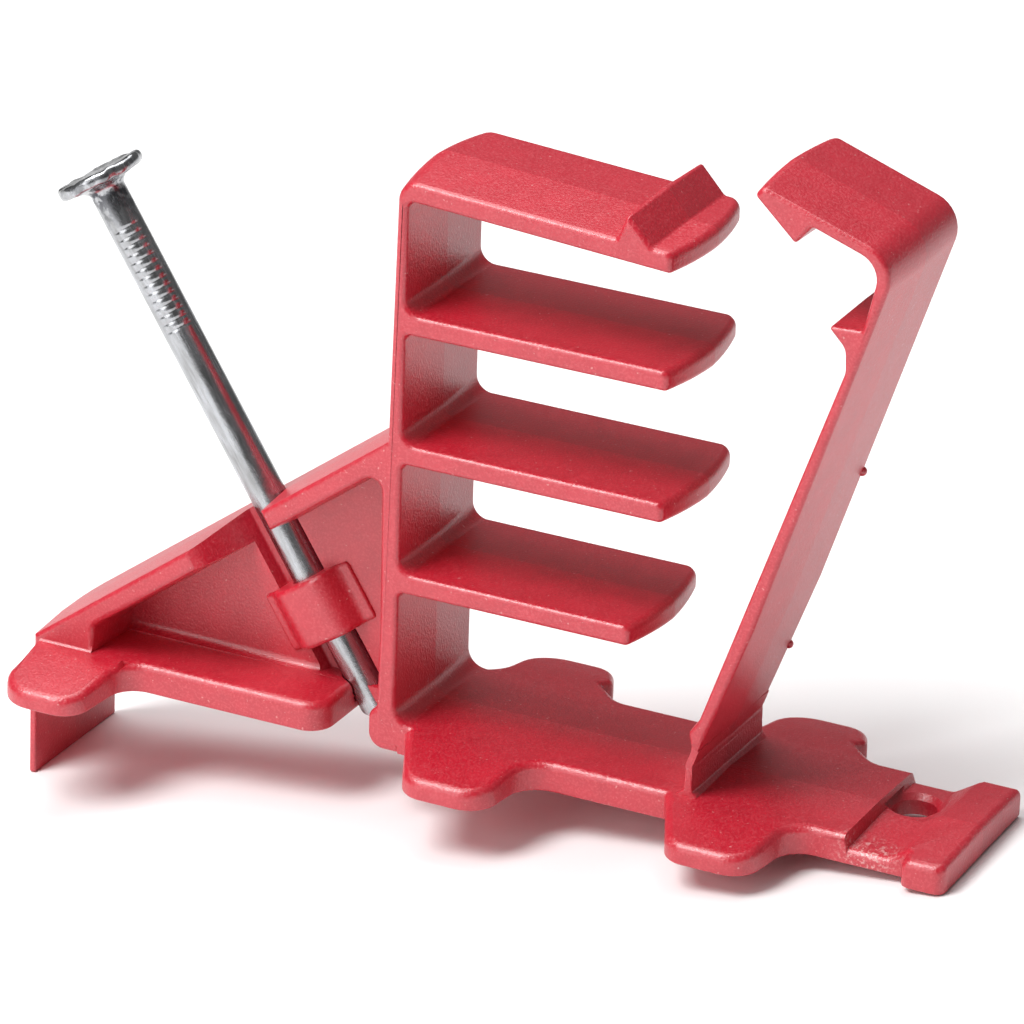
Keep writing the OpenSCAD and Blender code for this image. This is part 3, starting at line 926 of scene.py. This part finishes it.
def painted_shade_behind_parting(tree, where, amount):
    """Mask of the painted shade: the given amount behind the parting plane, nothing in front of it."""
    split = tree.nodes.new("ShaderNodeSeparateXYZ")
    tree.links.new(where, split.inputs["Vector"])
    step = tree.nodes.new("ShaderNodeMapRange")
    step.inputs["From Min"].default_value = -0.02 * MM
    step.inputs["From Max"].default_value = 0.02 * MM
    step.inputs["To Max"].default_value = amount
    tree.links.new(split.outputs["Y"], step.inputs["Value"])
    return step.outputs["Result"]


def bump(tree, height, strength, distance):
    node = tree.nodes.new("ShaderNodeBump")
    node.inputs["Strength"].default_value = strength
    node.inputs["Distance"].default_value = distance * MM
    tree.links.new(height, node.inputs["Height"])
    return node.outputs["Normal"]


def red_plastic():
    """Polypropylene with a fine spark-eroded grain, pale specks and a scuffed edge at the free end; the
    pale grain and specks are partly painted glints, the scuffed edge is partly a painted highlight, and
    the half behind the parting plane is in painted shade.
    """
    material, tree, shader, where = node_tree("red_polypropylene")
    mottle = noise(tree, where, 500, 4, 0.6)
    colour = ramp(tree, mottle, [(0.3, RED_LOW), (0.7, RED_HIGH)])
    grain = noise(tree, where, 5200, 2, 0.6)
    # Pale grain: partly the plastic's own grain, partly painted glints where its sparkle catches the
    # light.
    pale = ramp(tree, grain, [(0.46, grey(0)), (0.68, grey(0.50))])
    colour = blended(tree, pale, colour, GRAIN_AND_GLINT_PALE)
    # Painted shade: the half behind the parting plane is drawn darker, where the rear mould half's drafted
    # faces catch less light.
    colour = blended(tree, painted_shade_behind_parting(tree, where, 0.28), colour, RED_BEHIND_PAINTED_SHADE)
    # Pale specks: partly the plastic's own grain, partly painted glints.
    speck = ramp(tree, noise(tree, where, 3600, 1, 0.4), [(0.73, grey(0)), (0.80, grey(0.55))])
    colour = blended(tree, speck, colour, SPECK_AND_GLINT_PALE)
    # Pale chips at the recess's front edge: partly rubbed wear, partly a painted highlight on the rounded
    # edge.
    rubbed_and_highlit = near(tree, where, (STEP_AT + 1.7, -HALF_W, RECESS_T - RECESS_FALL), 3.0)
    chips_and_highlight = ramp(tree, noise(tree, where, 3000, 3, 0.7), [(0.50, grey(0)), (0.66, grey(0.7))])
    colour = blended(tree, times(tree, rubbed_and_highlit, chips_and_highlight), colour, CHIP_AND_HIGHLIGHT_PALE)
    tree.links.new(colour, shader.inputs["Base Color"])
    rough = ramp(tree, grain, [(0.3, grey(0.28)), (0.7, grey(0.42))])
    tree.links.new(rough, shader.inputs["Roughness"])
    shader.inputs["Specular IOR Level"].default_value = 1.0
    tree.links.new(bump(tree, grain, strength=1.0, distance=0.035), shader.inputs["Normal"])
    return material


def along_wire(tree, where):
    """Coordinates turned to the nail and drawn out along it."""
    turn = tree.nodes.new("ShaderNodeMapping")
    turn.inputs["Rotation"].default_value = (0, math.atan2(-NAIL_UP.x, NAIL_UP.z), 0)
    tree.links.new(where, turn.inputs["Vector"])
    draw = tree.nodes.new("ShaderNodeMapping")
    draw.inputs["Scale"].default_value = (1, 1, 0.12)
    tree.links.new(turn.outputs["Vector"], draw.inputs["Vector"])
    return draw.outputs["Vector"]


def bright_steel():
    """Drawn wire with streaks along it, and dark scale on the struck head."""
    material, tree, shader, where = node_tree("drawn_wire")
    shader.inputs["Metallic"].default_value = 1.0
    streak = noise(tree, along_wire(tree, where), 2600, 4, 0.7)
    colour = ramp(tree, streak, [(0.3, grey(0.30)), (0.7, STEEL_PALE)])
    head = near(tree, where, nail_frame(0, 0, NAIL_LEN + HEAD_T / 2), 4.6)
    scale = ramp(tree, noise(tree, where, 1300, 3, 0.65), [(0.47, grey(0)), (0.56, grey(0.95))])
    colour = blended(tree, times(tree, head, scale), colour, SCALE_DARK)
    tree.links.new(colour, shader.inputs["Base Color"])
    rough = ramp(tree, streak, [(0.3, grey(0.17)), (0.7, grey(0.32))])
    tree.links.new(rough, shader.inputs["Roughness"])
    pits = noise(tree, where, 3800, 3, 0.6)
    tree.links.new(bump(tree, pits, strength=0.5, distance=0.02), shader.inputs["Normal"])
    return material


def dress(piece, body, node, material):
    piece.data.materials.clear()
    piece.data.materials.append(material)
    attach(piece, body)
    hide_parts(node)


# Camera, solved from the photograph's parallel edges, and the studio round the part
VIEW_AZIMUTH = math.radians(25.86)
VIEW_ELEVATION = math.radians(23.67)
VIEW_ROLL = math.radians(1.89)
VIEW_DISTANCE = 545.5
VIEW_TARGET = Vector((5.910, 0, 17.859))
VIEW_FOCAL_PX = 7722.0
IMAGE_PX = 1024
SENSOR = 36.0
ROOM_LIGHT = 0.16
FLOOR_HALF_M = 4.0
FLOOR_GAP = 0.05


def camera():
    ca, sa = math.cos(VIEW_AZIMUTH), math.sin(VIEW_AZIMUTH)
    ce, se = math.cos(VIEW_ELEVATION), math.sin(VIEW_ELEVATION)
    back = Vector((sa * ce, -ca * ce, se))
    level = Vector((ca, sa, 0))
    upright = back.cross(level)
    right = level * math.cos(VIEW_ROLL) + upright * math.sin(VIEW_ROLL)
    up = -level * math.sin(VIEW_ROLL) + upright * math.cos(VIEW_ROLL)
    lens = bpy.data.cameras.new("camera")
    lens.sensor_width = SENSOR
    lens.lens = VIEW_FOCAL_PX / IMAGE_PX * SENSOR
    lens.clip_start = 0.01
    lens.clip_end = 10
    eye = bpy.data.objects.new("camera", lens)
    turn = Matrix((right, up, back)).transposed().to_4x4()
    eye.matrix_world = Matrix.Translation((VIEW_TARGET + back * VIEW_DISTANCE) * MM) @ turn
    bpy.context.scene.collection.objects.link(eye)
    bpy.context.scene.camera = eye


def soft_light(name, towards, distance, size, power):
    """Square soft box in a direction from the middle of the part, in metres and watts."""
    middle = VIEW_TARGET * MM
    at = middle + Vector(towards).normalized() * distance
    lamp = bpy.data.lights.new(name, "AREA")
    lamp.shape = "SQUARE"
    lamp.size = size
    lamp.energy = power
    piece = bpy.data.objects.new(name, lamp)
    piece.location = at
    piece.rotation_euler = (middle - at).to_track_quat("-Z", "Y").to_euler()
    bpy.context.scene.collection.objects.link(piece)


def studio_world():
    """Dim, even light from the room round the part."""
    world = bpy.data.worlds.new("studio")
    world.use_nodes = True
    room = world.node_tree.nodes["Background"]
    room.inputs["Color"].default_value = (1, 1, 1, 1)
    room.inputs["Strength"].default_value = ROOM_LIGHT
    bpy.context.scene.world = world


def stage():
    """Pale floor on which the lip and the free end lie."""
    low = Vector((LIP_X, 0, -LIP_DEPTH)) * MM
    end = Vector((END_X, 0, 0)) * MM
    slope = math.atan2(end.z - low.z, end.x - low.x)
    mesh = bpy.data.meshes.new("floor")
    r = FLOOR_HALF_M
    mesh.from_pydata([(-r, -r, 0), (r, -r, 0), (r, r, 0), (-r, r, 0)], [], [(0, 1, 2, 3)])
    floor = bpy.data.objects.new("floor", mesh)
    floor.location = low + Vector((0, 0, -FLOOR_GAP * MM))
    floor.rotation_euler = (0, -slope, 0)
    bpy.context.scene.collection.objects.link(floor)
    material, _, shader, _ = node_tree("pale_floor")
    shader.inputs["Base Color"].default_value = (*FLOOR_PALE, 1)
    shader.inputs["Roughness"].default_value = 0.9
    shader.inputs["Specular IOR Level"].default_value = 0.1
    mesh.materials.append(material)


bpy.context.scene.view_settings.view_transform = "Standard"
plastic = red_plastic()
steel = bright_steel()
dress(clip(), "clip_body", "clip_body", plastic)
dress(gate(), "gate", "gate", plastic)
dress(nail(), "nail", "nail", steel)
living_hinge = membrane()
living_hinge.data.materials.append(plastic)
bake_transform(living_hinge)
camera()
stage()
studio_world()
soft_light("key", towards=(-0.40, -0.42, 0.82), distance=0.7, size=0.35, power=4.6)
soft_light("top", towards=(-0.22, 0.28, 0.93), distance=0.7, size=0.5, power=3.0)
soft_light("front", towards=(-0.35, -0.85, 0.30), distance=0.8, size=0.5, power=1.8)
